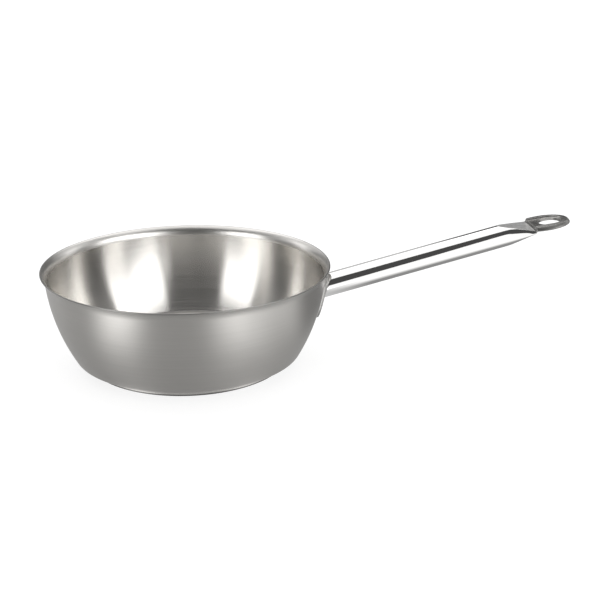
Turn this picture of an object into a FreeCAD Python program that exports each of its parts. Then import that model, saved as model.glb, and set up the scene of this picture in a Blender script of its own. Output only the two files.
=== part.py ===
import FreeCAD, Part
import math
import os
from FreeCAD import Placement, Rotation, Vector

# Saucier pan in millimetres and degrees. The origin is the centre of the base's
# underside, +Z is up, and the handle runs out along +X, rising as it goes.

# Bowl: one drawn sheet, round about Z
rim_diameter = 200.0
pan_height = 69.0
bowl_sheet = 1.0
lip_radius = 8.7
lip_lean = 50.0
wall_lean = 5.2
wall_radius = 133.0
corner_radius = 4.2
inner_corner_radius = 1.0

# Base: a heat spreading core, brazed under the bowl and closed by a cap
core_thickness = 4.8
core_edge_radius = 1.05
cap_sheet = 0.6
braze_thickness = 0.15
base_setback = 5.6

# Flange: the curved plate between the bowl's wall and the handle tube
flange_thickness = 1.8
flange_width = 38.0
flange_drop = 29.8
flange_below_lip = 3.0
flange_top_round = 6.0
flange_foot_round = 8.0

# Spot welds between the flange and the bowl's wall
spot_diameter = 4.0
spot_edge_margin = 3.0

# Handle tube: lengths along its axis, setbacks measured back from its tip
tube_diameter = 16.4
tube_wall = 1.0
handle_length = 183.9
handle_rise = 13.5
joint_height = 48.5

# Pressed end of the tube: a ramp on top, a spreading neck, then a dished tongue
ramp_setback = 52.7
ramp_fall = 16.3
spread_setback = 46.0
neck_drop = 1.6
tongue_length = 29.0
tongue_side = 10.0
tongue_spread = 13.6
root_taper = 1.5
tongue_thickness = 3.2
tongue_round_share = 0.48
tongue_pitch = 6.0
tongue_lift = 2.23
web_gap = 0.1
cavity_setback = 2.0
dish_slope = 55.0
dish_margin = 1.0
hole_diameter = 15.6
hole_setback = 14.8

# Weld round the root of the tube
weld_leg = 1.0
weld_toe = 0.15

# Half angle of the crown arcs that split a round section
crown_angle = 10.0

# Room by which a cutting tool stands clear of what it cuts
tool_room = 20.0

z_axis = Vector(0, 0, 1)
base_height = cap_sheet + braze_thickness + core_thickness + braze_thickness
cap_edge_radius = core_edge_radius + braze_thickness + cap_sheet
tube_radius = tube_diameter / 2
core_top = base_height - braze_thickness
tongue_width = tube_diameter + tongue_spread
web_thickness = 2 * tube_wall + web_gap
web_top = web_thickness - tongue_thickness / 2
hole_radius = hole_diameter / 2
hole_x = tongue_length - hole_setback
root_side = tongue_width / 2 - root_taper
side_radius = (tongue_side ** 2 + root_taper ** 2) / (2 * root_taper)
side_sag = side_radius - math.sqrt(side_radius ** 2 - (tongue_side / 2) ** 2)


def outward(lean):
    """Unit vector in the XZ plane, tipped down from +X by lean degrees."""
    return Vector(math.cos(math.radians(lean)), 0, -math.sin(math.radians(lean)))


# The bowl's outer face is a chain of tangent arcs, worked out from the rim inwards
rim_centre = Vector(rim_diameter / 2 - bowl_sheet / 2, 0, pan_height - bowl_sheet / 2)
lip_centre = rim_centre + outward(lip_lean) * (lip_radius + bowl_sheet / 2)
lip_start = lip_centre - outward(wall_lean) * lip_radius
wall_centre = lip_start - outward(wall_lean) * wall_radius


def foot_corner(radius, inset):
    """Centre of the corner between floor and wall, inset from the outer face, and the wall's lean there."""
    height = base_height + inset + radius
    drop = wall_centre.z - height
    reach = math.sqrt((wall_radius - inset - radius) ** 2 - drop ** 2)
    return Vector(wall_centre.x + reach, 0, height), math.degrees(math.atan2(drop, reach))


outer_corner, wall_foot_lean = foot_corner(corner_radius, 0)
base_radius = outer_corner.x - base_setback

# The handle's axis leaves the flange's outer face at the joint
flange_face_radius = wall_radius + flange_thickness
flange_top = lip_start.z - flange_below_lip
flange_foot = flange_top - flange_drop
joint_lean = math.degrees(math.asin((wall_centre.z - joint_height) / flange_face_radius))
joint = wall_centre + outward(joint_lean) * flange_face_radius
handle_place = Placement(joint, Rotation(Vector(0, 1, 0), -handle_rise))

# In the handle's own frame, with X along the tube, the tongue pitches down from its root
tongue_x = handle_length - tongue_length * math.cos(math.radians(tongue_pitch))
tongue_root = Vector(tongue_x, 0, tongue_lift)
tongue_place = Placement(tongue_root, Rotation(Vector(0, 1, 0), tongue_pitch))


def arc(centre, radius, lean_a, lean_b):
    """Arc about a centre in the XZ plane; a negative radius puts it on the other side."""
    leans = (lean_a, (lean_a + lean_b) / 2, lean_b)
    return Part.Arc(*[centre + outward(lean) * radius for lean in leans]).toShape()


def polyline(points):
    """Straight edges through points of the XZ plane, given as (x, z)."""
    corners = [Vector(x, 0, z) for x, z in points]
    return [Part.LineSegment(a, b).toShape() for a, b in zip(corners, corners[1:])]


def turned(edges):
    """Solid of revolution about Z from a closed section in the XZ plane."""
    section = Part.Face(Part.Wire(Part.__sortEdges__(edges)))
    return section.revolve(Vector(), z_axis, 360)


def bowl_face(inset, radius):
    """Floor, corner, wall and lip of one face of the bowl, inset from its outer face."""
    centre, foot_lean = foot_corner(radius, inset)
    height = base_height + inset
    return polyline([(0, height), (centre.x, height)]) + [
        arc(centre, radius, 90, foot_lean),
        arc(wall_centre, wall_radius - inset, foot_lean, wall_lean),
        arc(lip_centre, -(lip_radius + inset), wall_lean, lip_lean),
    ]


def make_bowl():
    """Flat floor, rounded corner, curved wall and flared lip, with a rounded rim edge."""
    middle = polyline([(0, base_height), (0, base_height + bowl_sheet)])
    outer = bowl_face(0, corner_radius)
    inner = bowl_face(bowl_sheet, inner_corner_radius)
    rim_edge = arc(rim_centre, bowl_sheet / 2, lip_lean, lip_lean - 180)
    return turned(middle + outer + inner + [rim_edge])


def base_body(inset, top):
    """Round-edged disc of the base's outline, inset from the cap's outside, up to a height."""
    edge_centre = Vector(base_radius - cap_edge_radius, 0, cap_edge_radius)
    side = base_radius - inset
    lines = polyline([(side, cap_edge_radius), (side, top), (0, top), (0, inset), (edge_centre.x, inset)])
    return turned(lines + [arc(edge_centre, cap_edge_radius - inset, 0, 90)])


def make_cap():
    """Shallow cup that closes the base; its rim meets the bowl's floor."""
    return base_body(0, base_height).cut(base_body(cap_sheet, base_height))


def make_core():
    """Solid disc that fills the cap, but for the braze round it."""
    return base_body(cap_sheet + braze_thickness, core_top)


def make_lower_braze():
    """Thin cup of braze between the cap and the core."""
    return base_body(cap_sheet, core_top).cut(make_core())


def make_upper_braze():
    """Thin disc of braze between the core and the bowl's floor."""
    return Part.makeCylinder(base_radius - cap_sheet, braze_thickness, Vector(0, 0, core_top))


def wall_body(radius):
    """Solid inside a face that follows the wall at another radius, over the wall's height."""
    foot = wall_centre + outward(wall_foot_lean) * radius
    top = wall_centre + outward(0) * radius
    lines = polyline([(foot.x, foot.z), (0, foot.z), (0, top.z), (top.x, top.z)])
    return turned(lines + [arc(wall_centre, radius, wall_foot_lean, 0)])


def wall_layer(from_face, to_face):
    """Shell between two faces that follow the wall, given as distances outside it."""
    return wall_body(wall_radius + to_face).cut(wall_body(wall_radius + from_face))


def flange_outline():
    """Closed wire in the YZ plane, with small rounds at the top and large ones at the foot."""
    half = flange_width / 2
    top_round = min(flange_top_round, half)
    foot_round = min(flange_foot_round, half)
    corners = [
        (half - foot_round, flange_foot + foot_round, foot_round, -90),
        (half - top_round, flange_top - top_round, top_round, 0),
        (top_round - half, flange_top - top_round, top_round, 90),
        (foot_round - half, flange_foot + foot_round, foot_round, 180),
    ]
    points = []
    for y, z, radius, start in corners:
        angles = [math.radians(start + step) for step in (0, 45, 90)]
        points.append([Vector(0, y + radius * math.cos(a), z + radius * math.sin(a)) for a in angles])
    edges = []
    for this, following in zip(points, points[1:] + points[:1]):
        edges.append(Part.Arc(*this).toShape())
        if this[-1].distanceToPoint(following[0]) > Part.Precision.confusion():
            edges.append(Part.LineSegment(this[-1], following[0]).toShape())
    return Part.Wire(edges)


def make_flange():
    """Plate of even thickness that lies against the bowl's wall."""
    blank = Part.Face(flange_outline()).extrude(Vector(rim_diameter, 0, 0))
    return wall_layer(0, flange_thickness).common(blank)


def make_spot_welds():
    """Four nuggets, each half in the bowl's sheet and half in the flange."""
    layer = wall_layer(-bowl_sheet / 2, flange_thickness / 2)
    edge = spot_edge_margin + spot_diameter / 2
    side = flange_width / 2 - edge
    upper = flange_top - edge
    lower = flange_foot + flange_foot_round
    nuggets = []
    for y in (-side, side):
        for z in (lower, upper):
            pin = Part.makeCylinder(spot_diameter / 2, rim_diameter, Vector(0, y, z), Vector(1, 0, 0))
            nuggets.append(layer.common(pin))
    return Part.makeCompound(nuggets)


def round_section(x, radius):
    """Circle across the handle's axis, split into two sides and two crowns."""
    turns = [crown_angle - 90, 90 - crown_angle, 90 + crown_angle, 270 - crown_angle, 270 + crown_angle]
    edges = []
    for start, end in zip(turns, turns[1:]):
        angles = [math.radians(turn) for turn in (start, (start + end) / 2, end)]
        points = [Vector(x, radius * math.cos(a), radius * math.sin(a)) for a in angles]
        edges.append(Part.Arc(*points).toShape())
    return Part.Wire(edges)


def slot_section(inset, back):
    """Slot across the neck at its end, set back and inset: round sides, flat top and foot."""
    top = tongue_thickness / 2 - inset
    foot = inset - tongue_thickness / 2 - neck_drop
    middle = (top + foot) / 2
    side = root_side - inset
    flat = side - (top - foot) / 2
    right = [Vector(-back, flat, foot), Vector(-back, side, middle), Vector(-back, flat, top)]
    left = [Vector(-back, -flat, top), Vector(-back, -side, middle), Vector(-back, -flat, foot)]
    slot = Part.Wire([
        Part.Arc(*right).toShape(),
        Part.LineSegment(right[-1], left[0]).toShape(),
        Part.Arc(*left).toShape(),
        Part.LineSegment(left[-1], right[0]).toShape(),
    ])
    slot.Placement = tongue_place
    return slot


def above_ramp(inset):
    """Block above the ramp that is pressed into the top of the tube, lowered by inset."""
    ramp_start = Vector(handle_length - ramp_setback, 0, tube_radius)
    size = 2 * handle_length
    block = Part.makeBox(size, size, size, Vector(-size / 2, -size / 2, -inset))
    block.Placement = Placement(ramp_start, Rotation(Vector(0, 1, 0), ramp_fall))
    return block


def dish_slot(radius, height):
    """Slot in plan round the hole, run back into the neck, at a height."""
    back = -tongue_length
    near = Vector(hole_x, -radius, height)
    far = Vector(hole_x, radius, height)
    return Part.Wire([
        Part.LineSegment(Vector(back, -radius, height), near).toShape(),
        Part.Arc(near, Vector(hole_x + radius, 0, height), far).toShape(),
        Part.LineSegment(far, Vector(back, radius, height)).toShape(),
        Part.LineSegment(Vector(back, radius, height), Vector(back, -radius, height)).toShape(),
    ])


def dish_tool():
    """Dish on top of the tongue with sloping sides, open towards the ramp."""
    depth = tongue_thickness
    floor = hole_radius + dish_margin
    mouth = floor + depth / math.tan(math.radians(dish_slope))
    dish = Part.makeLoft([dish_slot(floor, web_top), dish_slot(mouth, web_top + depth)], True, True)
    dish.Placement = tongue_place
    return dish.common(above_ramp(0))


def tube_body(inset, back):
    """Round tube and its spreading neck, inset all round and ending short of the tongue's root."""
    spread_x = handle_length - spread_setback
    radius = tube_radius - inset
    straight = Part.makeCylinder(radius, spread_x + tool_room, Vector(-tool_room, 0, 0), Vector(1, 0, 0))
    neck = Part.makeLoft([round_section(spread_x, radius), slot_section(inset, back)], True, True)
    return straight.fuse(neck)


def tongue_outline(height):
    """Plan of the tongue at a height: sides that spread in an arc from the root, then half an ellipse."""
    across = Vector(0, tongue_width / 2, 0)
    halfway = Vector(tongue_side / 2, 0, height)
    half_across = Vector(0, tongue_width / 2 - side_sag, 0)
    root = Vector(0, 0, height)
    root_across = Vector(0, root_side, 0)
    centre = Vector(tongue_side, 0, height)
    tip = Vector(tongue_length, 0, height)
    if tongue_length - tongue_side > across.Length:
        whole = Part.Ellipse(tip, centre + across, centre)
    else:
        whole = Part.Ellipse(centre + across, tip, centre)
    first = whole.parameter(centre - across)
    last = whole.parameter(centre + across)
    edges = [
        Part.ArcOfEllipse(whole, first, last).toShape(),
        Part.Arc(centre + across, halfway + half_across, root + root_across).toShape(),
        Part.LineSegment(root + root_across, root - root_across).toShape(),
        Part.Arc(root - root_across, halfway - half_across, centre - across).toShape(),
    ]
    return Part.Wire(Part.__sortEdges__(edges))


def tongue_body():
    """Flat tongue with rounded edges, all but at its root."""
    plate = Part.Face(tongue_outline(-tongue_thickness / 2)).extrude(z_axis * tongue_thickness)
    small = tongue_thickness / 2
    rim = [edge for edge in plate.Edges if edge.BoundBox.ZLength < small and edge.BoundBox.XMax > small]
    tongue = plate.makeFillet(tongue_thickness * tongue_round_share, rim)
    tongue.Placement = tongue_place
    return tongue


def make_tube():
    """Hollow tube, saddle cut to the flange, with its dished tongue and the hanging hole."""
    cavity = tube_body(tube_wall, cavity_setback).cut(above_ramp(tube_wall))
    hole = Part.makeCylinder(hole_radius, 2 * tool_room, Vector(hole_x, 0, -tool_room), z_axis)
    hole.Placement = tongue_place
    outside = tube_body(0, 0).cut(above_ramp(0)).fuse(tongue_body())
    tube = outside.cut(dish_tool()).cut(cavity).cut(hole)
    tube.Placement = handle_place
    return tube.cut(wall_body(flange_face_radius)).removeSplitter()


def make_weld():
    """Fillet weld: a skewed cone about the tube's root, cut to the flange and the tube."""
    skew = math.radians(joint_lean + handle_rise)
    axis = handle_place.Rotation.multVec(Vector(1, 0, 0))
    rings = []
    for height, leg in ((weld_leg, weld_toe), (-weld_leg, weld_toe + 2 * weld_leg)):
        ring = Part.Ellipse(Vector(), tube_radius / math.cos(skew) + leg, tube_radius + leg).toShape()
        centre = joint + axis * (height / math.cos(skew))
        ring.Placement = Placement(centre, Rotation(Vector(0, 1, 0), joint_lean - 90))
        rings.append(Part.Wire(ring))
    cone = Part.makeLoft(rings, True, True)
    root = Part.makeCylinder(tube_radius, 2 * tool_room, joint - axis * tool_room, axis)
    return cone.cut(root).cut(wall_body(flange_face_radius))


spot_welds = make_spot_welds()
parts = {
    "pan_bowl": make_bowl().cut(spot_welds),
    "base_cap": make_cap(),
    "base_core": make_core(),
    "lower_braze_layer": make_lower_braze(),
    "upper_braze_layer": make_upper_braze(),
    "handle_flange": make_flange().cut(spot_welds),
    "spot_welds": spot_welds,
    "handle_tube": make_tube(),
    "handle_weld": make_weld(),
}

os.makedirs("parts", exist_ok=True)
for node, shape in parts.items():
    shape.exportStep(f"parts/{node}.step")
    print(node, "solids", len(shape.Solids), "valid", shape.isValid(), "volume", round(shape.Volume, 1))
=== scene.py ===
import bpy
import bmesh
import numpy as np
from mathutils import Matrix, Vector


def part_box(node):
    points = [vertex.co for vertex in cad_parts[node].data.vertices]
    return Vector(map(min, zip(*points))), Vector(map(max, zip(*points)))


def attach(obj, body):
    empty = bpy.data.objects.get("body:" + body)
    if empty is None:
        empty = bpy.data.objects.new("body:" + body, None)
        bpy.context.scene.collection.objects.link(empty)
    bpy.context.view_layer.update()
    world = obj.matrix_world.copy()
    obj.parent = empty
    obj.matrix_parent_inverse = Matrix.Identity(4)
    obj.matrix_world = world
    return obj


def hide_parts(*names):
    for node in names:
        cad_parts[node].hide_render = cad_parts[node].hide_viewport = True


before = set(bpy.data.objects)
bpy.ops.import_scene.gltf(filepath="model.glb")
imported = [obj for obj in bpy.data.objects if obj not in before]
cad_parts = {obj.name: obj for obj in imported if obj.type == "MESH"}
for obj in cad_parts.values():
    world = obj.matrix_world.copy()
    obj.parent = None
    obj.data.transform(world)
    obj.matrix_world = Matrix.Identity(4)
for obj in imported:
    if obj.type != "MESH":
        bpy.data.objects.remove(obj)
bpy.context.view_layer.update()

# Saucier pan. Lengths are millimetres and angles degrees until a mesh is made in metres.
# The origin is the centre of the base's underside, +Z is up, the handle runs out along +X.
MM = 0.001


def node_box(node):
    """Lowest and highest corner of a solid of the frame, in millimetres."""
    low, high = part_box(node)
    return np.array(low) / MM, np.array(high) / MM


bowl_low, bowl_high = node_box("pan_bowl")
cap_low, cap_high = node_box("base_cap")
flange_low, flange_high = node_box("handle_flange")

# Bowl: one drawn sheet
rim_radius = bowl_high[0]
pan_height = bowl_high[2]
base_height = bowl_low[2]
bowl_sheet = 1.0
lip_radius = 8.7
lip_lean = 50.0
wall_lean = 5.2
wall_radius = 133.0
corner_radius = 4.2
inner_corner_radius = 1.0
# Width of the floor's ring beside the inner corner, painted dark with the corner as shade
painted_shade_ring = 3.5

# Base cap: a shallow pressed cup
base_radius = cap_high[0]
cap_sheet = 0.6
cap_edge_radius = 1.8

# Flange between the bowl's wall and the handle
flange_thickness = 1.8
flange_edge = 0.5
flange_half = flange_high[1]
flange_top_round = 6.0
flange_foot_round = 8.0

# Handle tube and its pressed end
tube_radius = 8.2
handle_length = 183.9
handle_rise = 13.5
joint_height = 48.5
ramp_x = 131.2
ramp_end = -1.0
neck_x = 137.9
neck_drop = 1.6
neck_ease = 0.02
saddle_length = 118.0
tongue_length = 29.0
tongue_side = 10.0
tongue_half = 15.0
root_taper = 1.5
tongue_under = 1.6
tongue_pitch = 6.0
tongue_lift = 2.23
root_step = 1.0
rim_edge_height = 1.3
rim_crown_height = 1.75
dish_floor = 0.5
dish_radius = 8.8
dish_slope = 55.0
hole_radius = 7.8
hole_edge = 0.4
hole_x = 14.2

# Outer edge of the tongue: a small round, a bank that bulges a little, and a small round.
# The bank's angles are those of its normals, up from level.
edge_top_round = 0.5
edge_foot_round = 0.55
bank_top = 42.0
bank_foot = 28.0

# Weld bead round the root of the tube; the last is the share of its size that is sunk in the metal
weld_leg = 1.0
weld_toe = 0.15
weld_ripple = 0.04
weld_ripples = 46
weld_sunk = 0.15

# Steps round the turned pieces
turned_steps = 320


def unit(lean):
    """Unit vector of the meridian plane, tipped down from the radius by lean degrees."""
    return np.array([np.cos(np.radians(lean)), -np.sin(np.radians(lean))])


# The bowl's outer face is a chain of tangent arcs, worked out from the rim inwards, as (radius, height)
rim_centre = np.array([rim_radius - bowl_sheet / 2, pan_height - bowl_sheet / 2])
lip_centre = rim_centre + unit(lip_lean) * (lip_radius + bowl_sheet / 2)
wall_centre = lip_centre - unit(wall_lean) * (lip_radius + wall_radius)

# The handle's axis leaves the flange's outer face at the joint
flange_face = wall_radius + flange_thickness
joint_drop = wall_centre[1] - joint_height
joint_x = wall_centre[0] + np.sqrt(flange_face ** 2 - joint_drop ** 2)
rise_cos = np.cos(np.radians(handle_rise))
rise_sin = np.sin(np.radians(handle_rise))
pitch_cos = np.cos(np.radians(tongue_pitch))
pitch_sin = np.sin(np.radians(tongue_pitch))
tongue_x = handle_length - tongue_length * pitch_cos
ramp_low = tongue_lift + ramp_end * pitch_cos
ramp_slope = (tube_radius - ramp_low) / (tongue_x - ramp_x)
side_radius = (tongue_side ** 2 + root_taper ** 2) / (2 * root_taper)
dish_steep = np.tan(np.radians(dish_slope))
dish_bank = (rim_crown_height - dish_floor) / dish_steep


# Surfaces

def spaced(count):
    """Count values from 0 to 1, closer together at both ends, by a half cosine."""
    return (1 - np.cos(np.linspace(0, np.pi, count))) / 2


def eased(t, ease):
    """Ramp from 0 to 1 over t from 0 to 1, its corners rounded by parabolas of half width ease."""
    def area(u):
        return np.where(u < 0, 0, np.where(u > 1, u - 0.5, u * u / 2))
    return (area(t + ease) - area(t - ease)) / (2 * ease)


def lengths(points):
    """Running length along a row of points, starting at zero."""
    steps = np.linalg.norm(np.diff(points, axis=0), axis=1)
    return np.concatenate([[0], np.cumsum(steps)])


def piece_from(name, patches, finishes):
    """Closed mesh from patches of grid points that share their borders.

    Each patch is (points, lay, finish): a grid of points, a like grid of lay vectors that the
    finishes follow, and the number of the finish, for the patch or for each row of faces.
    The UV map runs along the rows' lay, so that its tangent lies across the brushing.
    """
    all_points, all_lay, all_faces, all_uv, all_finish = [], [], [], [], []
    first = 0
    for points, lay, finish in patches:
        rows, columns = points.shape[:2]
        index = first + np.arange(rows * columns).reshape(rows, columns)
        corners = [index[:-1, :-1], index[:-1, 1:], index[1:, 1:], index[1:, :-1]]
        faces = np.stack(corners, -1).reshape(-1, 4)
        across = np.broadcast_to(np.linspace(0, 1, columns), (rows, columns))
        uv = np.stack([lay[..., 2] * MM, across], -1).reshape(-1, 2)
        all_points.append(points.reshape(-1, 3))
        all_lay.append(lay.reshape(-1, 3))
        all_faces.append(faces)
        all_uv.append(uv[faces.ravel() - first])
        all_finish.append(np.repeat(np.broadcast_to(finish, rows - 1), columns - 1))
        first += rows * columns
    points = np.concatenate(all_points) * MM
    faces = np.concatenate(all_faces)
    mesh = bpy.data.meshes.new(name)
    mesh.vertices.add(len(points))
    mesh.vertices.foreach_set("co", points.ravel())
    mesh.loops.add(faces.size)
    mesh.loops.foreach_set("vertex_index", faces.ravel())
    mesh.polygons.add(len(faces))
    mesh.polygons.foreach_set("loop_start", np.arange(len(faces)) * 4)
    mesh.update(calc_edges=True)
    mesh.polygons.foreach_set("material_index", np.concatenate(all_finish))
    mesh.uv_layers.new(name="brush").uv.foreach_set("vector", np.concatenate(all_uv).ravel())
    lay = mesh.attributes.new("lay", "FLOAT_VECTOR", "POINT")
    lay.data.foreach_set("vector", np.concatenate(all_lay).ravel())
    shell = bmesh.new()
    shell.from_mesh(mesh)
    bmesh.ops.remove_doubles(shell, verts=shell.verts, dist=0.0005 * MM)
    bmesh.ops.dissolve_degenerate(shell, edges=shell.edges, dist=0.0001 * MM)
    bmesh.ops.recalc_face_normals(shell, faces=shell.faces)
    shell.to_mesh(mesh)
    shell.free()
    mesh.polygons.foreach_set("use_smooth", np.ones(len(mesh.polygons), bool))
    piece = bpy.data.objects.new(name, mesh)
    bpy.context.scene.collection.objects.link(piece)
    for finish in finishes:
        mesh.materials.append(finish)
    return piece


def arc(centre, radius, start, end, count):
    """Arc of the meridian plane about a centre, between two angles up from the radius."""
    angles = np.radians(np.linspace(start, end, count))
    return centre + radius * np.stack([np.cos(angles), np.sin(angles)], -1)


def turned(profile, around):
    """Profile of (radius, height) points carried once round Z, and its lay: direction and run."""
    angle = np.linspace(0, 2 * np.pi, around + 1)
    ring = np.stack([np.cos(angle), np.sin(angle)], -1)
    radius, height = profile[:, :1], profile[:, 1:]
    flat = radius[..., None] * ring[None]
    points = np.concatenate([flat, np.broadcast_to(height[..., None], flat.shape[:2] + (1,))], -1)
    run = np.broadcast_to(lengths(profile)[:, None, None], flat.shape[:2] + (1,))
    lay = np.concatenate([np.broadcast_to(ring[None], flat.shape), run], -1)
    return points, lay


def foot_corner(radius, inset):
    """Corner between floor and wall of a face inset from outside: its centre and the wall's lean."""
    height = base_height + inset + radius
    drop = wall_centre[1] - height
    reach = np.sqrt((wall_radius - inset - radius) ** 2 - drop ** 2)
    return np.array([wall_centre[0] + reach, height]), np.degrees(np.arctan2(drop, reach))


def bowl_profile():
    """Bowl's section: floor, corner, wall and lip inside, over the rim, and back down outside.

    Gives the points and, for each step between them, its finish: 0 on the inner wall,
    1 at the rim's edge, painted dark as shade, 2 outside, 3 in the inner corner and on a ring
    of the floor beside it, painted dark as shade, 4 on the inner floor, 5 on the inside of the lip.
    """
    inner = bowl_sheet
    corner_in, lean_in = foot_corner(inner_corner_radius, inner)
    corner_out, lean_out = foot_corner(corner_radius, 0)
    # The floor stops short of the corner by that ring, which takes the corner's painted shade
    floor_end = corner_in[0] - painted_shade_ring
    floor_in = np.stack([np.linspace(0, floor_end, 30), np.full(30, base_height + inner)], -1)
    ring_in = floor_in[-1] + np.array([[0, 0], [painted_shade_ring, 0]])
    floor_out = np.stack([np.linspace(corner_out[0], 0, 12), np.full(12, base_height)], -1)
    inside = [
        floor_in,
        ring_in,
        arc(corner_in, inner_corner_radius, -90, -lean_in, 14),
        arc(wall_centre, wall_radius - inner, -lean_in, -wall_lean, 40),
        arc(lip_centre, lip_radius + inner, 180 - wall_lean, 180 - lip_lean, 18),
    ]
    rim = arc(rim_centre, bowl_sheet / 2, 180 - lip_lean, -lip_lean, 17)
    outside = [
        arc(lip_centre, lip_radius, 180 - lip_lean, 180 - wall_lean, 18),
        arc(wall_centre, wall_radius, -wall_lean, -lean_out, 40),
        arc(corner_out, corner_radius, -lean_out, -90, 14),
        floor_out,
    ]
    spans = inside + [rim] + outside
    steps = [4, 3, 3, 0, 5, 1] + [2] * len(outside)
    points = np.concatenate([spans[0]] + [span[1:] for span in spans[1:]])
    finish = np.concatenate([np.full(len(span) - 1, step) for span, step in zip(spans, steps)])
    return points, finish


def make_bowl(finishes):
    """Drawn bowl: its section turned about Z."""
    profile, finish = bowl_profile()
    points, lay = turned(profile, turned_steps)
    return piece_from("drawn_bowl", [(points, lay, finish)], finishes)


def make_cap(finishes):
    """Pressed cap: the section of a cup with a round outer edge, turned about Z.

    Finish 0 is its underside, 1 the rest.
    """
    edge_centre = np.array([base_radius - cap_edge_radius, cap_edge_radius])
    under = np.stack([np.linspace(0, edge_centre[0], 30), np.zeros(30)], -1)
    edge = arc(edge_centre, cap_edge_radius, -90, 0, 12)
    inner_edge = arc(edge_centre, cap_edge_radius - cap_sheet, 0, -90, 8)
    side_in = base_radius - cap_sheet
    lip = np.array([[base_radius, base_height], [side_in, base_height]])
    profile = np.concatenate([under, edge[1:], lip, inner_edge, [[0, cap_sheet]]])
    finish = np.where(np.arange(len(profile) - 1) < len(under) - 1, 0, 1)
    points, lay = turned(profile, turned_steps)
    return piece_from("pressed_cap", [(points, lay, finish)], finishes)


def wall_point(y, z, offset):
    """Point outside the bowl's wall by offset, at a height and a distance from the handle's plane."""
    reach = np.sqrt((wall_radius + offset) ** 2 - (z - wall_centre[1]) ** 2)
    radius = wall_centre[0] + reach
    return np.stack([np.sqrt(radius ** 2 - y ** 2), y, z], -1)


def flange_outline(count):
    """Rounded rectangle in (y, z), with small rounds at the top and large ones at the foot."""
    low, high = flange_low[2], flange_high[2]
    top, foot = flange_top_round, flange_foot_round
    rounds = [
        (flange_half - foot, low + foot, foot, -90),
        (flange_half - top, high - top, top, 0),
        (top - flange_half, high - top, top, 90),
        (foot - flange_half, low + foot, foot, 180),
    ]
    corners = [arc(np.array([y, z]), r, start, start + 90, 16) for y, z, r, start in rounds]
    points = np.concatenate(corners + [corners[0][:1]])
    run = lengths(points)
    even = np.linspace(0, run[-1], count)
    return np.stack([np.interp(even, run, points[:, 0]), np.interp(even, run, points[:, 1])], -1)


def make_flange(finishes):
    """Flange plate: spokes from its middle out over its face, round its edge, and back behind.

    Row by row, the outline shrinks to the middle while the offset from the bowl's wall follows
    the plate's section. Finish 0 is the outer face, satin painted dark as shade, 1 the rest.
    """
    outline = flange_outline(161)
    middle = np.array([0, (flange_low[2] + flange_high[2]) / 2])
    to_middle = middle - outline
    away = to_middle / np.linalg.norm(to_middle, axis=1, keepdims=True)
    spoke_steps = 24
    shrink = np.linspace(1, 0, spoke_steps)
    turn = np.radians(np.linspace(90, -90, 13))
    thick, edge = flange_thickness, flange_edge
    rim_inset = edge - edge * np.cos(turn)
    rim_offset = np.where(turn > 0, thick - edge, edge) + edge * np.sin(turn)
    face = outline[None] + away[None] * edge
    face_rows = face + (middle - face) * (1 - shrink[::-1])[:, None, None]
    rim_rows = outline[None] + away[None] * rim_inset[:, None, None]
    plan = np.concatenate([face_rows, rim_rows[1:-1], face_rows[::-1]])
    offset = np.concatenate([np.full(spoke_steps, thick), rim_offset[1:-1], np.zeros(spoke_steps)])
    points = wall_point(plan[..., 0], plan[..., 1], offset[:, None] + np.zeros(plan.shape[:2]))
    lay = np.stack([plan[..., 0] / flange_half, plan[..., 1] / flange_half, plan[..., 1]], -1)
    outer_rows = len(face_rows) + len(turn) // 2 - 1
    finish = np.where(np.arange(len(points) - 1) < outer_rows, 0, 1)
    return piece_from("curved_flange", [(points, lay, finish)], finishes)


def from_handle(x, y, z):
    """Points of the handle's own frame, with X along the tube, in the part's frame."""
    along = joint_x + x * rise_cos - z * rise_sin
    up = joint_height + x * rise_sin + z * rise_cos
    return np.stack([along, y, up], -1)


def from_tongue(x, y, z):
    """Points of the tongue's frame, pitched down from its root, in the part's frame."""
    along = tongue_x + x * pitch_cos + z * pitch_sin
    return from_handle(along, y, tongue_lift - x * pitch_sin + z * pitch_cos)


def root_x(y, z):
    """Where a line along the tube meets the flange's outer face, by steps of the distance left."""
    x = np.zeros_like(y)
    for step in range(12):
        at = from_handle(x, y, z)
        out = np.hypot(at[..., 0], at[..., 1]) - wall_centre[0]
        x = x - (np.hypot(out, at[..., 2] - wall_centre[1]) - flange_face)
    return x


def edge_section(foot):
    """Section of the tongue's edge, from its top down to its foot: inset from the outline, and height.

    A chain of tangent arcs: a small round, a bank whose radius makes up the height, and a small
    round. Also gives each point's share of the way, by length and turn together.
    """
    sines = np.sin(np.radians([90, bank_top, bank_foot, -90]))
    rounds = edge_top_round * (sines[0] - sines[1]) + edge_foot_round * (sines[2] - sines[3])
    bank_radius = (rim_edge_height - foot - rounds) / (sines[1] - sines[2])
    spans = [
        (edge_top_round, 90, bank_top),
        (bank_radius, bank_top, bank_foot),
        (edge_foot_round, bank_foot, -90),
    ]
    path = np.array([[0, rim_edge_height]])
    turns = np.array([90.0])
    for radius, start, end in spans:
        turn = np.linspace(start, end, 60)
        steps = radius * np.stack([np.cos(np.radians(turn)), np.sin(np.radians(turn))], -1)
        path = np.concatenate([path, path[-1] + steps[1:] - steps[0]])
        turns = np.concatenate([turns, turn[1:]])
    half_turn_length = 3.5
    way = lengths(path) / half_turn_length + (90 - turns) / 180
    return path[:, 0].max() - path[:, 0], path[:, 1], way / way[-1]


edge_inset, edge_height, edge_way = edge_section(-tongue_under)
neck_inset, neck_height, neck_way = edge_section(-tongue_under - neck_drop)

# Angle at which a neck section turns from its side to its crown, and where the ramp meets the last one
crown_turn = 80.0
root_crease = crown_turn - 2 * crown_turn * np.interp(-ramp_end, -neck_height, neck_way)

# Shares across the flat of a section, from its middle to its edge, closer together over the dish's bank
flat_shares = np.concatenate([
    np.linspace(0, 0.60, 9)[:-1],
    np.linspace(0.60, 0.78, 16)[:-1],
    np.linspace(0.78, 1, 8),
])

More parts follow.
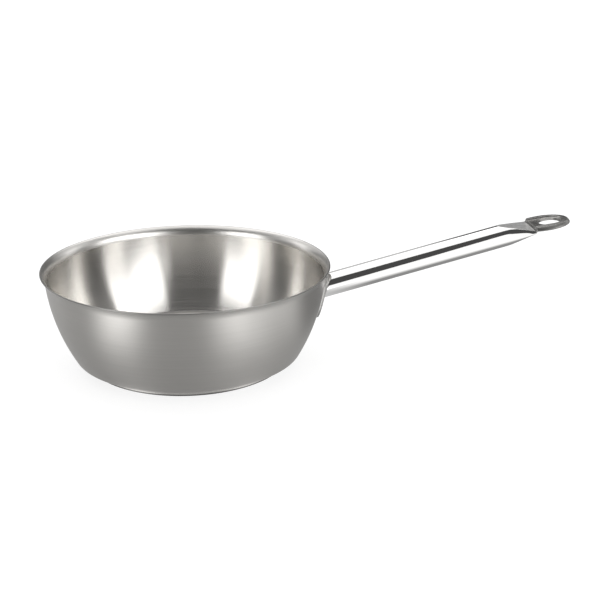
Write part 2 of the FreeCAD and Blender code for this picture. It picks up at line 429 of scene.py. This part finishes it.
# Shares across the pressed top: the flat, then the edge's turn down to the crease
flat_end = (90 - crown_turn) / (90 - root_crease)
turn_shares = flat_end + (1 - flat_end) * np.linspace(0, 1, 22)[1:]
top_shares = np.concatenate([flat_shares * flat_end, turn_shares])
side_steps = 31


def edge_point(angle):
    """Inset and height of the edge at an angle up from its side: on the tongue, at the neck's end."""
    way = np.clip((crown_turn - angle) / (2 * crown_turn), 0, 1)
    on_tongue = np.stack([np.interp(way, edge_way, edge_inset), np.interp(way, edge_way, edge_height)])
    on_neck = np.stack([np.interp(way, neck_way, neck_inset), np.interp(way, neck_way, neck_height)])
    return on_tongue, on_neck


def neck_section(press, angle):
    """Half section across the neck at an angle up from its side, as (y, z).

    It goes from the tube's circle at press 0 to the neck's end at press 1, which has a flat
    top and underside and a deeper edge than the tongue's at its side.
    """
    inset, height = edge_point(angle)[1]
    crown = np.clip((90 - np.abs(angle)) / (90 - crown_turn), 0, 1)
    round_y = tube_radius * np.cos(np.radians(angle))
    round_z = tube_radius * np.sin(np.radians(angle))
    pressed_y = (tongue_half - root_taper - inset) * crown
    pressed_z = tongue_lift + height * pitch_cos
    return (1 - press) * round_y + press * pressed_y, (1 - press) * round_z + press * pressed_z


def ramp_height(x):
    """Height of the ramp over the tube's axis, down to its low end at the tongue's root."""
    return ramp_low + (tongue_x - x) * ramp_slope


def neck_press(x):
    """Share by which the tube is pressed out to the tongue at a station, with a soft start."""
    def grown(t):
        return (t + np.sqrt(t * t + neck_ease)) / 2
    share = grown((x - neck_x) / (tongue_x - neck_x))
    start = grown((0 - neck_x) / (tongue_x - neck_x))
    return (share - start) / (grown(1.0) - start)


def crease_angle(x, press):
    """Angle at which each section meets the ramp, found by halving, or the crown's where it doesn't."""
    lowest = -20.0
    top = ramp_height(x) + 1e-6
    low = np.full_like(x, lowest)
    high = np.full_like(x, crown_turn)
    for step in range(40):
        middle = (low + high) / 2
        over = neck_section(press, middle)[1] > top
        high = np.where(over, middle, high)
        low = np.where(over, low, middle)
    return high


def half_sections(x, press, crease):
    """Half sections of the tube from the crown down one side to the underside, as grids of y and z.

    Each section's top is cut off by the ramp. Its underside takes over from its side at a lower angle
    the more it is pressed.
    """
    lower = -50 - 30 * press
    top_y, top_z = neck_section(press, 90 - (90 - crease) * top_shares)
    side_y, side_z = neck_section(press, crease + (lower - crease) * spaced(side_steps))
    under_y, under_z = neck_section(press, -90 + (90 + lower) * flat_shares)
    top_z = np.minimum(top_z, ramp_height(x))
    y = np.concatenate([top_y, side_y[:, 1:-1], under_y[:, ::-1]], 1)
    z = np.concatenate([top_z, side_z[:, 1:-1], under_z[:, ::-1]], 1)
    return y, z


def tube_strip():
    """Tube from its root to the tongue's root: sections along the axis, each cut off by the ramp.

    The saddle at the root fades out along the tube. Gives all the points, and patches of them:
    the top, where the ramp has finish 1, and the rest.
    """
    saddle_stations = np.linspace(0, 1, 46)[:-1] * saddle_length
    stations = np.concatenate([saddle_stations, np.linspace(saddle_length, tongue_x, 100)])
    press = neck_press(stations)
    crease = crease_angle(stations, press)
    crease[-1] = root_crease
    x, press = stations[:, None], press[:, None]
    half_y, half_z = half_sections(x, press, crease[:, None])
    crease_at = len(top_shares) - 1
    soft = np.arange(crease_at - 1, crease_at + 2)
    for values in (half_y, half_z):
        values[:-1, soft] = (values[:-1, soft - 1] + 2 * values[:-1, soft] + values[:-1, soft + 1]) / 4
    y = np.concatenate([half_y, -half_y[:, -2::-1]], 1)
    z = np.concatenate([half_z, half_z[:, -2::-1]], 1)
    along = x + (z - tongue_lift) * press * pitch_sin / pitch_cos
    saddle = np.clip(1 - x / saddle_length, 0, 1)
    along = along + saddle * root_x(y[0], z[0])
    turn = np.arctan2(z, y)
    lay = np.stack([np.cos(turn), np.sin(turn), along], -1)
    points = from_handle(along, y, z)
    on_ramp = np.where(stations[:-1] > ramp_x, 1, 0)
    spans = [
        (slice(0, crease_at + 1), on_ramp),
        (slice(crease_at, -crease_at), 0),
        (slice(-crease_at - 1, None), on_ramp),
    ]
    return points, [(points[:, span], lay[:, span], finish) for span, finish in spans]


def side_half(x):
    """Half the tongue's width along its sides, which spread in an arc."""
    before = np.maximum(tongue_side - x, 0)
    return tongue_half - side_radius + np.sqrt(side_radius ** 2 - before ** 2)


def tongue_columns():
    """Plan of the tongue's outline from its root round the tip and back, and its outward normals.

    Sides that spread in an arc from the root, then half an ellipse round the tip.
    """
    reach = tongue_length - tongue_side
    turn = np.linspace(-np.pi / 2, np.pi / 2, 181)
    tip = np.stack([tongue_side + reach * np.cos(turn), tongue_half * np.sin(turn)], -1)
    normal = np.stack([np.cos(turn) * tongue_half, np.sin(turn) * reach], -1)
    normal /= np.linalg.norm(normal, axis=1, keepdims=True)
    sides = np.linspace(0, 1, 41)[:-1] ** 1.6 * tongue_side
    near = np.stack([sides, -side_half(sides)], -1)
    far = near[::-1] * np.array([1, -1])
    outline = np.concatenate([near, tip, far])
    normals = np.concatenate([np.tile([0, -1.0], (40, 1)), normal, np.tile([0, 1.0], (40, 1))])
    return outline, normals


def step_up(x):
    """Share by which the tongue's own section has taken over from the neck's end: all past the step."""
    return eased(x / root_step, 0.3)


def tongue_top(plan):
    """Height of the tongue's top: a step at its root, the dish, and a rim that falls outwards."""
    x, y = plan[..., 0], plan[..., 1]
    flat = side_half(x) - edge_inset[0]
    tip = tongue_length - edge_inset[0] - tongue_side
    outward = np.hypot(np.maximum(x - tongue_side, 0) / tip, y / flat)
    fall = np.clip((outward - 0.7) / 0.3, 0, 1)
    rim = rim_crown_height + (rim_edge_height - rim_crown_height) * fall
    distance = np.hypot(np.maximum(x - hole_x, 0), y)
    bank = eased((distance - dish_radius) * dish_steep / (rim - dish_floor), 0.1)
    return ramp_end + step_up(x) * (dish_floor + (rim - dish_floor) * bank - ramp_end)


def tongue_borders(outline, normals):
    """Borders of the tongue's top and underside in plan: across its root, then round its outline."""
    shares = np.concatenate([flat_shares[::-1], -flat_shares[1:]])
    taken = step_up(outline[:, :1])
    borders = []
    for at in (0, -1):
        half = tongue_half - root_taper - neck_inset[at]
        root = np.stack([np.zeros_like(shares), shares * half], -1)
        inset = neck_inset[at] + (edge_inset[at] - neck_inset[at]) * taken
        borders.append(np.concatenate([root, (outline - normals * inset)[1:]]))
    return borders


def inward_shares(aim, reach, lip):
    """Shares of each spoke from the hole's lip to the border, from the border inwards.

    The rows lie on the rim, on the dish's bank and on its floor, closer together beside the border
    and at the bank's foot.
    """
    sideways = np.where(aim[:, 0] > 0, 1, np.maximum(np.abs(aim[:, 1]), 1e-6))
    foot_at = np.clip((dish_radius / sideways - lip) / (reach - lip), 0, 1)
    top_at = np.clip(((dish_radius + dish_bank) / sideways - lip) / (reach - lip), 0, 1)
    step = np.linspace(0, 1, 29)[:, None]
    return np.concatenate([
        1 + (top_at - 1) * step[:-1] ** 1.5,
        top_at + (foot_at - top_at) * step[:-1:4],
        foot_at * (1 - step ** 1.5),
    ])[..., None]


def tongue_faces(borders):
    """Tongue's top, hole and underside: spokes in over the dish, through the hole and out below."""
    hole = np.array([hole_x, 0])
    aim = borders[0] - hole
    reach = np.linalg.norm(aim, axis=1)
    aim /= reach[:, None]
    lip = hole_radius + hole_edge
    ring = hole + aim * lip
    inward = inward_shares(aim, reach, lip)
    above = ring + (borders[0] - ring) * inward
    below = ring + (borders[1] - ring) * inward[::-1]
    turn = np.radians(np.linspace(90, 0, 8))[:, None]
    lip_out = lip - hole_edge * np.cos(turn)
    lip_drop = hole_edge - hole_edge * np.sin(turn)
    wall = hole + aim[None] * np.concatenate([lip_out, lip_out[::-1]])[..., None]
    top = tongue_top(above)
    upper = top[-1][None] - lip_drop
    lower = -tongue_under + lip_drop[::-1] + np.zeros_like(upper)
    foot = -tongue_under - neck_drop * (1 - step_up(below[..., 0]))
    plan = np.concatenate([above, wall[1:-1], below])
    height = np.concatenate([top, upper[1:], lower[:-1], foot])
    return from_tongue(plan[..., 0], plan[..., 1], height)


def tongue_edge(outline, normals):
    """Banked outer edge of the tongue, between the borders of its top and underside."""
    upper_angle = 90 - (90 - root_crease) * top_shares[len(flat_shares) - 1:]
    lower_angle = root_crease + (-crown_turn - root_crease) * spaced(side_steps)
    on_tongue, on_neck = edge_point(np.concatenate([upper_angle, lower_angle[1:]])[:, None])
    on_neck[1] = np.minimum(on_neck[1], ramp_end)
    inset, height = on_neck + (on_tongue - on_neck) * step_up(outline[:, 0])
    plan = outline[None] - normals[None] * inset[..., None]
    return from_tongue(plan[..., 0], plan[..., 1], height)


def make_tube(finishes):
    """Handle tube: the strip along the tube, a closing face at its root, and the tongue round its hole.

    Finish 0 is the polished tube, 1 the ground ramp, 2 the satin tongue, painted dark as shade,
    3 its edge, painted darker still as shade.
    """
    strip, patches = tube_strip()
    root = strip[:1]
    middle = np.broadcast_to(from_handle(0.0, 0.0, 0.0), root.shape)
    closing = np.concatenate([middle, root])
    outline, normals = tongue_columns()
    faces = tongue_faces(tongue_borders(outline, normals))
    edge = tongue_edge(outline, normals)
    scale = np.array([1 / tube_radius, 1 / tube_radius, 1])
    patches.append((closing, np.zeros_like(closing), 0))
    patches.append((faces, faces * scale, 2))
    patches.append((edge, edge * scale, 3))
    return piece_from("pressed_tube", patches, finishes)


def tube_foot(turn):
    """Where the tube meets the flange at each turn, and the way out from it along the flange's face."""
    y, z = tube_radius * np.cos(turn), tube_radius * np.sin(turn)
    x = root_x(y, z)
    foot = from_handle(x, y, z)
    spread = from_handle(x, y * 1.001, z * 1.001) - foot
    spread /= np.linalg.norm(spread, axis=1, keepdims=True)
    radius = np.hypot(foot[:, :1], foot[:, 1:2])
    level = foot[:, :2] / radius * (radius - wall_centre[0])
    normal = np.concatenate([level, foot[:, 2:] - wall_centre[1]], 1)
    normal /= np.linalg.norm(normal, axis=1, keepdims=True)
    outward = spread - normal * (spread * normal).sum(1, keepdims=True)
    return foot, outward / np.linalg.norm(outward, axis=1, keepdims=True)


def make_weld(finishes):
    """Weld bead: a small hollow fillet carried round the tube's root, with a shallow ripple.

    At each turn round the tube, the section runs from the tube out to the flange in a
    quarter round and closes behind, in the metal of both.
    """
    turn = np.linspace(0, 2 * np.pi, 241)
    foot, along_face = tube_foot(turn)
    axis = from_handle(1.0, 0.0, 0.0) - from_handle(0.0, 0.0, 0.0)
    size = weld_leg + weld_toe + weld_ripple * np.cos(turn * weld_ripples)
    bend = np.radians(np.linspace(180, 270, 13))
    up = np.concatenate([1 + np.sin(bend), [-weld_sunk, -weld_sunk, 1.0]])[::-1]
    out = np.concatenate([1 + np.cos(bend), [1.0, -weld_sunk, -weld_sunk]])[::-1]
    closed = np.append(np.arange(len(up)), 0)
    up_steps = axis * (up[closed][:, None] * size)[..., None]
    out_steps = along_face * (out[closed][:, None] * size)[..., None]
    points = foot + up_steps + out_steps
    lay = points * np.array([1 / tube_radius, 1 / tube_radius, 1])
    return piece_from("weld_bead", [(points, lay, 0)], finishes)


# Finishes

def add(tree, kind, inputs=None, **settings):
    """Adds a shader node; an input given as a socket is linked, any other is set."""
    made = tree.nodes.new("ShaderNode" + kind)
    for name, value in settings.items():
        setattr(made, name, value)
    for key, value in (inputs or {}).items():
        if isinstance(value, bpy.types.NodeSocket):
            tree.links.new(value, made.inputs[key])
        else:
            made.inputs[key].default_value = value
    return made


def math_node(tree, operation, a, b=0.0):
    """Result of a sum, product or other operation on two values."""
    return add(tree, "Math", {0: a, 1: b}, operation=operation).outputs[0]


def remap(tree, value, low, high, to_low, to_high):
    """Value carried from one range to another, held at its ends."""
    inputs = {"Value": value, "From Min": low, "From Max": high, "To Min": to_low, "To Max": to_high}
    return add(tree, "MapRange", inputs).outputs["Result"]


def new_group(name, inputs, outputs):
    """Empty shader node group with named float or vector sockets; gives the tree and its two ends."""
    tree = bpy.data.node_groups.new(name, "ShaderNodeTree")
    for label, kind, value in inputs:
        socket = tree.interface.new_socket(label, in_out="INPUT", socket_type="NodeSocket" + kind)
        if kind == "Float":
            socket.default_value = value
    for label, kind in outputs:
        tree.interface.new_socket(label, in_out="OUTPUT", socket_type="NodeSocket" + kind)
    start = tree.nodes.new("NodeGroupInput").outputs
    end = tree.nodes.new("NodeGroupOutput").inputs
    return tree, start, end


def brushed_lines():
    """Group: long fine lines along the lay, as a tone, a height and a slow drift, all about 0.5.

    The lay's first two values say where round the piece a point is, and the third how
    far along it, so noise drawn out along the first two makes unbroken lines.
    """
    inputs = [("Lay", "Vector", None), ("Lines per mm", "Float", 1.0), ("Streak", "Float", 1.0)]
    outputs = [("Tone", "Float"), ("Height", "Float"), ("Drift", "Float")]
    tree, start, end = new_group("brushed_lines", inputs, outputs)
    parts = add(tree, "SeparateXYZ", {"Vector": start["Lay"]}).outputs
    round_x = math_node(tree, "MULTIPLY", parts["X"], start["Streak"])
    round_y = math_node(tree, "MULTIPLY", parts["Y"], start["Streak"])
    run = math_node(tree, "MULTIPLY", parts["Z"], start["Lines per mm"])
    drawn = add(tree, "CombineXYZ", {"X": round_x, "Y": round_y, "Z": run}).outputs["Vector"]
    fine = add(tree, "TexNoise", {"Vector": drawn, "Scale": 1.0, "Detail": 4.0, "Roughness": 0.65})
    slow_run = math_node(tree, "MULTIPLY", run, 0.13)
    slow = add(tree, "CombineXYZ", {"X": round_x, "Y": round_y, "Z": slow_run}).outputs["Vector"]
    drift = add(tree, "TexNoise", {"Vector": slow, "Scale": 1.0, "Detail": 2.0})
    tree.links.new(fine.outputs["Fac"], end["Tone"])
    tree.links.new(fine.outputs["Fac"], end["Height"])
    tree.links.new(drift.outputs["Fac"], end["Drift"])
    return tree


def use_marks():
    """Group: faint smudges from handling, as a mask from 0 to 1."""
    tree, start, end = new_group("use_marks", [("Smudge size", "Float", 60.0)], [("Smudge", "Float")])
    place = add(tree, "TexCoord").outputs["Object"]
    cloud = add(tree, "TexNoise", {"Vector": place, "Scale": start["Smudge size"], "Detail": 3.0})
    smudge = remap(tree, cloud.outputs["Fac"], 0.5, 0.72, 0.0, 1.0)
    tree.links.new(smudge, end["Smudge"])
    return tree


lines_group = brushed_lines()
marks_group = use_marks()


def steel(name, tint, rough, rough_spread=0.03, anisotropy=0.0, lines=1.2, streak=1.5, tone=0.04,
          grain=0.001, smudge=0.02):
    """Stainless steel with brushed lines along its lay and faint marks of use.

    tint is its colour, lines and streak set the brushing, tone and rough_spread how far the
    lines vary its colour and gloss, grain their depth in millimetres, smudge the marks' dullness.
    """
    material = bpy.data.materials.new(name)
    material.use_nodes = True
    tree = material.node_tree
    tree.nodes.clear()
    lay = add(tree, "Attribute", attribute_name="lay").outputs["Vector"]
    brushing = add(tree, "Group", node_tree=lines_group)
    tree.links.new(lay, brushing.inputs["Lay"])
    brushing.inputs["Lines per mm"].default_value = lines
    brushing.inputs["Streak"].default_value = streak
    marks = add(tree, "Group", node_tree=marks_group)
    dark = [channel * (1 - tone) for channel in tint] + [1.0]
    light = [min(1.0, channel * (1 + tone)) for channel in tint] + [1.0]
    drift = math_node(tree, "MULTIPLY", brushing.outputs["Drift"], 0.3)
    spread = math_node(tree, "ADD", brushing.outputs["Tone"], drift)
    share = remap(tree, spread, 0.4, 0.9, 0.0, 1.0)
    colour = add(tree, "Mix", {"Factor": share, "A": dark, "B": light}, data_type="RGBA")
    base = colour.outputs[2]
    gloss = remap(tree, spread, 0.4, 0.9, rough - rough_spread, rough + rough_spread)
    smear = math_node(tree, "MULTIPLY", marks.outputs["Smudge"], smudge)
    gloss = math_node(tree, "ADD", gloss, smear)
    bump_inputs = {"Height": brushing.outputs["Height"], "Strength": 1.0, "Distance": grain * MM}
    bump = add(tree, "Bump", bump_inputs).outputs["Normal"]
    shader = add(tree, "BsdfPrincipled", {"Base Color": base, "Roughness": gloss, "Normal": bump})
    shader.inputs["Metallic"].default_value = 1.0
    shader.inputs["Anisotropic"].default_value = anisotropy
    if anisotropy:
        tangent = add(tree, "Tangent", direction_type="UV_MAP", uv_map="brush").outputs["Tangent"]
        tree.links.new(tangent, shader.inputs["Tangent"])
    end = add(tree, "OutputMaterial")
    tree.links.new(shader.outputs["BSDF"], end.inputs["Surface"])
    return material


def cast_metal(name, tint, rough):
    """Plain mill finish for the pieces closed inside the pan: a mottled tone and gloss."""
    material = bpy.data.materials.new(name)
    material.use_nodes = True
    tree = material.node_tree
    tree.nodes.clear()
    place = add(tree, "TexCoord").outputs["Object"]
    mottle = add(tree, "TexNoise", {"Vector": place, "Scale": 400.0, "Detail": 4.0}).outputs["Fac"]
    dark = [channel * 0.9 for channel in tint] + [1.0]
    light = [min(1.0, channel * 1.1) for channel in tint] + [1.0]
    colour = add(tree, "Mix", {"Factor": mottle, "A": dark, "B": light}, data_type="RGBA")
    gloss = remap(tree, mottle, 0.3, 0.7, rough - 0.1, rough + 0.1)
    shader = add(tree, "BsdfPrincipled", {"Base Color": colour.outputs[2], "Roughness": gloss})
    shader.inputs["Metallic"].default_value = 1.0
    end = add(tree, "OutputMaterial")
    tree.links.new(shader.outputs["BSDF"], end.inputs["Surface"])
    return material


satin_outside = steel(
    "satin_outside", (0.41, 0.400, 0.384), rough=0.42, rough_spread=0.04, anisotropy=0.75,
    lines=1.0, streak=1.2, tone=0.05, grain=0.003,
)
polished_inside = steel(
    "polished_inside", (0.68, 0.664, 0.638), rough=0.23, anisotropy=0.8,
    lines=0.9, grain=0.0015, smudge=0.01,
)
satin_lip = steel("satin_lip", (0.64, 0.627, 0.604), rough=0.30, lines=0.9, smudge=0.01)
# Rim's rounded edge: steel painted dark, a painted shade for the dark line it shows
rim_painted_shade = steel("rim_painted_shade", (0.24, 0.236, 0.227), rough=0.30, lines=1.5, streak=2.0, tone=0.03)
# Inner corner and the floor ring beside it: steel painted dark, a painted shade
corner_painted_shade = steel(
    "corner_painted_shade", (0.22, 0.215, 0.207), rough=0.35, lines=0.9, grain=0.0015, smudge=0.01,
)
satin_floor = steel(
    "satin_floor", (0.44, 0.43, 0.415), rough=0.30, rough_spread=0.04, anisotropy=0.75,
    lines=1.6, streak=1.2, tone=0.06, grain=0.003,
)
polished_band = steel(
    "polished_band", (0.5, 0.488, 0.47), rough=0.20, anisotropy=0.5, lines=1.0, streak=1.2, smudge=0.01,
)
turned_under = steel(
    "turned_under", (0.55, 0.54, 0.52), rough=0.33, rough_spread=0.06, anisotropy=0.7,
    lines=2.2, streak=0.8, tone=0.08, grain=0.006, smudge=0.03,
)
ground_flat = steel("ground_flat", (0.94, 0.935, 0.925), rough=0.33)
# Satin steel of the tongue, its hole, the flange's face and the weld, with its tint painted dark as
# shade
satin_painted_shade = steel("satin_painted_shade", (0.32, 0.315, 0.305), rough=0.28)
# Tongue's banked edge: steel painted darker still, a painted shade
edge_painted_shade = steel("edge_painted_shade", (0.21, 0.207, 0.2), rough=0.36)
mirror_handle = steel(
    "mirror_handle", (0.85, 0.845, 0.835), rough=0.05, rough_spread=0.012,
    lines=0.4, streak=3.0, tone=0.015, grain=0.0003,
)
core_aluminium = cast_metal("core_aluminium", (0.78, 0.78, 0.77), 0.45)
braze_alloy = cast_metal("braze_alloy", (0.70, 0.68, 0.62), 0.5)
weld_nugget = cast_metal("weld_nugget", (0.56, 0.55, 0.53), 0.45)

bowl = make_bowl([polished_inside, rim_painted_shade, satin_outside, corner_painted_shade, satin_floor, satin_lip])
cap = make_cap([turned_under, polished_band])
flange = make_flange([satin_painted_shade, ground_flat])
tube = make_tube([mirror_handle, ground_flat, satin_painted_shade, edge_painted_shade])
weld = make_weld([satin_painted_shade])

pieces = [
    (bowl, "pan_bowl", "bowl_steel"),
    (cap, "base_cap", "bowl_steel"),
    (flange, "handle_flange", "handle_steel"),
    (tube, "handle_tube", "handle_steel"),
    (weld, "handle_weld", "handle_steel"),
]
for piece, node, slot in pieces:
    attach(piece, "root")
    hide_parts(node)

inner_finishes = {
    "base_core": core_aluminium,
    "upper_braze_layer": braze_alloy,
    "lower_braze_layer": braze_alloy,
    "spot_welds": weld_nugget,
}
for node, finish in inner_finishes.items():
    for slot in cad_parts[node].material_slots:
        slot.material = finish


# Studio

def softbox(name, azimuth, elevation, distance, width, height, brightness):
    """Area light facing the pan, placed by angles from the front (-Y), azimuth towards +X."""
    lamp = bpy.data.lights.new(name, "AREA")
    lamp.shape = "RECTANGLE"
    lamp.size = width
    lamp.size_y = height
    lamp.energy = brightness * np.pi * width * height
    holder = bpy.data.objects.new(name, lamp)
    a, e = np.radians(azimuth), np.radians(elevation)
    away = Vector((np.sin(a) * np.cos(e), -np.cos(a) * np.cos(e), np.sin(e)))
    holder.location = Vector((0, 0, 0.04)) + away * distance
    holder.rotation_euler = away.to_track_quat("Z", "Y").to_euler()
    holder.visible_camera = False
    bpy.context.scene.collection.objects.link(holder)


def card(name, corners, brightness):
    """Flat card that the metal reflects and the camera doesn't see; corners in metres."""
    mesh = bpy.data.meshes.new(name)
    mesh.from_pydata(corners, [], [range(len(corners))])
    board = bpy.data.objects.new(name, mesh)
    bpy.context.scene.collection.objects.link(board)
    material = bpy.data.materials.new(name)
    material.use_nodes = True
    tree = material.node_tree
    tree.nodes.clear()
    glow = add(tree, "Emission", {"Color": (1, 1, 1, 1), "Strength": brightness})
    end = add(tree, "OutputMaterial")
    tree.links.new(glow.outputs["Emission"], end.inputs["Surface"])
    mesh.materials.append(material)
    board.visible_camera = False
    board.visible_shadow = False
    board.visible_diffuse = False


# Painted pools of light in the floor's mirror image, two out in front and two close to the base:
# azimuth and spread in degrees, the distances between which they grow in metres, and brightness
painted_light_pools = [
    (-50, 24, 0.12, 0.23, 2.6),
    (32, 28, 0.12, 0.23, 3.0),
    (-34, 20, 0.082, 0.076, 0.95),
    (30, 20, 0.082, 0.076, 0.75),
]


def painted_floor_light_and_shade(tree, place, from_middle):
    """Brightness of the floor in the metal: grey round the pan as painted shadow, with painted pools of
    light, and painted shadow under the base's edge and the handle."""
    parts = add(tree, "SeparateXYZ", {"Vector": place}).outputs
    # Painted shadow: grey close round the pan, lighter further out
    painted_shade_round_pan = remap(tree, from_middle, 0.09, 0.30, 0.60, 0.86)
    forward = math_node(tree, "MULTIPLY", parts["Y"], -1.0)
    azimuth = math_node(tree, "ARCTAN2", parts["X"], forward)
    for middle, spread, start, end, brightness in painted_light_pools:
        aside = math_node(tree, "ABSOLUTE", math_node(tree, "SUBTRACT", azimuth, np.radians(middle)))
        pool_inputs = {"Value": aside, "From Max": np.radians(spread), "To Min": 1.0, "To Max": 0.0}
        pool = add(tree, "MapRange", pool_inputs, interpolation_type="SMOOTHSTEP").outputs["Result"]
        away = remap(tree, from_middle, start, end, 0.0, brightness)
        painted_shade_round_pan = math_node(tree, "ADD", painted_shade_round_pan, math_node(tree, "MULTIPLY", pool, away))
    # Painted contact shadow: a dark ring just round the base's edge
    painted_contact_shadow = remap(tree, from_middle, 0.0712, 0.0735, 0.25, 1.0)
    painted_shade_round_pan = math_node(tree, "MULTIPLY", painted_shade_round_pan, painted_contact_shadow)
    # Painted shadow under the handle: a darker strip along it, past the pan
    beyond = remap(tree, parts["X"], 0.11, 0.15, 0.0, 1.0)
    painted_handle_shadow = remap(tree, parts["Y"], -0.06, -0.015, 1.2, 0.30)
    return remap(tree, beyond, 0.0, 1.0, painted_shade_round_pan, painted_handle_shadow)


def floor_material():
    """Matt white to the light and, by the kind of ray, white with a faint shadow to the camera and
    a painted tone to reflections: painted shadow round the pan and under the handle, with painted pools
    of light."""
    white = (1, 1, 1, 1)
    material = bpy.data.materials.new("floor")
    material.use_nodes = True
    tree = material.node_tree
    tree.nodes.clear()
    path = add(tree, "LightPath").outputs
    place = add(tree, "TexCoord").outputs["Object"]
    from_middle = add(tree, "VectorMath", {0: place}, operation="LENGTH").outputs["Value"]
    matt = add(tree, "BsdfDiffuse", {"Color": (0.88, 0.88, 0.88, 1)}).outputs["BSDF"]
    # What reflections see of the floor: painted shadow and painted pools of light
    tone = painted_floor_light_and_shade(tree, place, from_middle)
    painted_mirror_tone = add(tree, "Emission", {"Color": white, "Strength": tone}).outputs["Emission"]
    shaded = add(tree, "BsdfDiffuse", {"Color": (0.25, 0.25, 0.25, 1)}).outputs["BSDF"]
    far_white = remap(tree, from_middle, 0.6, 2.5, 0.83, 1.0)
    glow = add(tree, "Emission", {"Color": white, "Strength": far_white}).outputs["Emission"]
    seen = add(tree, "AddShader", {0: shaded, 1: glow}).outputs["Shader"]
    bounced = math_node(tree, "MAXIMUM", path["Is Glossy Ray"], path["Is Transmission Ray"])
    unseen = add(tree, "MixShader", {0: bounced, 1: matt, 2: painted_mirror_tone}).outputs["Shader"]
    mixed = add(tree, "MixShader", {0: path["Is Camera Ray"], 1: unseen, 2: seen}).outputs["Shader"]
    end = add(tree, "OutputMaterial")
    tree.links.new(mixed, end.inputs["Surface"])
    return material


def make_floor():
    """Plain pale floor just under the base, in metres."""
    size, level = 6.0, -0.0003
    corners = [(-size, -size, level), (size, -size, level), (size, size, level), (-size, size, level)]
    mesh = bpy.data.meshes.new("floor")
    mesh.from_pydata(corners, [], [range(len(corners))])
    mesh.materials.append(floor_material())
    floor = bpy.data.objects.new("floor", mesh)
    bpy.context.scene.collection.objects.link(floor)


def make_world():
    """White to the camera; to the pan a dim room, dark in front and lighter upwards behind."""
    world = bpy.data.worlds.new("studio")
    bpy.context.scene.world = world
    world.use_nodes = True
    tree = world.node_tree
    tree.nodes.clear()
    path = add(tree, "LightPath").outputs
    aim = add(tree, "TexCoord").outputs["Generated"]
    parts = add(tree, "SeparateXYZ", {"Vector": aim}).outputs
    behind = remap(tree, parts["Z"], 0.14, 0.34, 0.15, 0.8)
    share = remap(tree, parts["Y"], -0.3, 0.3, 0.0, 1.0)
    room = remap(tree, share, 0.0, 1.0, 0.07, behind)
    dim = add(tree, "Background", {"Color": (1, 1, 1, 1), "Strength": room})
    white = add(tree, "Background", {"Color": (1, 1, 1, 1), "Strength": 1.0})
    mixed = add(tree, "MixShader", {0: path["Is Camera Ray"], 1: dim.outputs[0], 2: white.outputs[0]})
    end = add(tree, "OutputWorld")
    tree.links.new(mixed.outputs["Shader"], end.inputs["Surface"])


def make_camera():
    """Camera at the photograph's viewing angle."""
    lens = bpy.data.cameras.new("camera")
    lens.sensor_fit = "HORIZONTAL"
    lens.angle = np.radians(28.0)
    camera = bpy.data.objects.new("camera", lens)
    camera.location = Vector((-42.53, -811.57, 327.79)) * MM
    camera.rotation_euler = (np.radians(90 - 19.64), 0, np.radians(-8.82))
    bpy.context.scene.collection.objects.link(camera)
    bpy.context.scene.camera = camera


make_world()
make_floor()
make_camera()
softbox("overhead", azimuth=180, elevation=80, distance=2.2, width=3.6, height=3.4, brightness=1.15)
softbox("right_box", azimuth=47.5, elevation=16, distance=6.0, width=5.8, height=4.4, brightness=3.0)
softbox("right_edge", azimuth=15.5, elevation=8, distance=6.0, width=0.8, height=2.5, brightness=1.0)
softbox("left_box", azimuth=-56, elevation=13, distance=2.6, width=1.52, height=1.65, brightness=3.0)
softbox("right_strip", azimuth=111, elevation=12, distance=2.6, width=0.55, height=1.6, brightness=1.3)
softbox("left_strip", azimuth=-121, elevation=12, distance=2.6, width=0.55, height=1.6, brightness=1.5)

# A white card in front of the handle and a dark flag behind it, as (x, z) on upright planes
front_card_y = -0.15
front_card_outline = [(0.10, 0.0), (0.5, 0.0), (0.5, 0.19), (0.25, 0.144), (0.19, 0.100), (0.10, 0.062)]
card("front_card", [(x, front_card_y, z) for x, z in front_card_outline], brightness=1.2)
back_flag_y = 1.0
back_flag_outline = [(0.28, 0.02), (1.0, 0.02), (1.0, 0.78), (0.28, 0.78)]
card("back_flag", [(x, back_flag_y, z) for x, z in back_flag_outline], brightness=0.1)

bpy.context.scene.view_settings.view_transform = "Standard"
